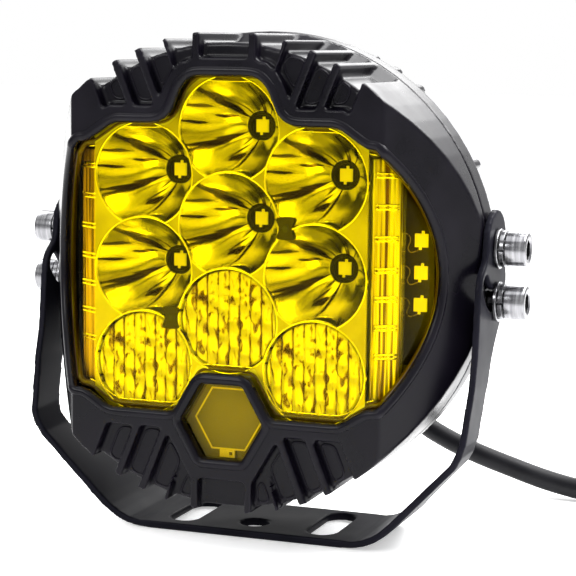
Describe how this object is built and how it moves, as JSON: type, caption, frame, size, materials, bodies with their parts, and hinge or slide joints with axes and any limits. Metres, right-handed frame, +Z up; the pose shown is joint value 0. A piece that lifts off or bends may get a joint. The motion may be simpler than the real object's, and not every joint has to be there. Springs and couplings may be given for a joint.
{
  "type": "fog light",
  "caption": "Round LED fog light: finned black cast head with an amber lens and chrome reflector cups, tilting on a U-shaped steel bracket, with a short plug-ended lead.",
  "frame": {"origin": "on the mounting surface, under the middle of the lamp without its lead", "axes": "+X to the lamp's own left as it shines (right in a front view), +Y backwards, away from the beam, +Z up"},
  "size_m": [0.2549, 0.1437, 0.193],
  "materials": {
    "cast_housing": "die-cast aluminium, black powder coat, semi-gloss",
    "bracket_sheet": "2.5 mm steel sheet, black powder coat, satin",
    "amber_lens": "amber-yellow polycarbonate, clear and glossy",
    "reflector": "vacuum-metallised plastic",
    "clear_optic": "clear acrylic with upright flutes",
    "board": "white solder-masked circuit board",
    "led": "phosphor-coated light-emitting diode",
    "bare_aluminium": "machined",
    "seal_rubber": "soft silicone, matt",
    "cable_jacket": "PVC jacket, satin",
    "badge": "printed plate",
    "black_plastic": "moulded nylon",
    "stainless": "A2 stainless, turned"
  },
  "bodies": {
    "bracket": {"mounting_bracket": "bracket_sheet", "cable": "cable_jacket", "connector": "black_plastic"},
    "head": {"front_bezel": "cast_housing", "rear_housing": "cast_housing", "lens": "amber_lens", "lens_gasket": "seal_rubber", "reflector_panel": "reflector", "spread_optic_left": "clear_optic", "spread_optic_centre": "clear_optic", "spread_optic_right": "clear_optic", "led_1": "led", "led_2": "led", "led_3": "led", "led_4": "led", "led_5": "led", "led_6": "led", "led_7": "led", "led_8": "led", "led_9": "led", "led_board": "board", "thermal_pad": "seal_rubber", "heat_spreader": "bare_aluminium", "light_guide_right": "clear_optic", "light_guide_left": "clear_optic", "side_board_right": "board", "side_board_left": "board", "side_led_1_right": "led", "side_led_1_left": "led", "side_led_2_right": "led", "side_led_2_left": "led", "side_led_3_right": "led", "side_led_3_left": "led", "badge_lens": "amber_lens", "badge_plate": "badge", "badge_clip": "led", "driver_board": "board", "driver_choke": "black_plastic", "driver_capacitor": "bare_aluminium", "cable_gland": "black_plastic", "gland_nut": "black_plastic", "breather_vent": "black_plastic", "pivot_bolt_right": "stainless", "pivot_bolt_left": "stainless", "lock_bolt_right": "stainless", "lock_bolt_left": "stainless", "pivot_spring_washer_right": "stainless", "pivot_spring_washer_left": "stainless", "lock_spring_washer_right": "stainless", "lock_spring_washer_left": "stainless", "pivot_flat_washer_right": "stainless", "pivot_flat_washer_left": "stainless", "lock_flat_washer_right": "stainless", "lock_flat_washer_left": "stainless", "housing_screw_1": "stainless", "housing_screw_2": "stainless", "housing_screw_3": "stainless", "housing_screw_4": "stainless"}
  },
  "joints": [
    {"name": "head_tilt", "type": "hinge", "parent": "bracket", "child": "head", "pos_m": [0, 0.0075, 0.113], "axis": [1, 0, 0], "range_deg": [-45, 15], "deforming": ["cable"]}
  ]
}
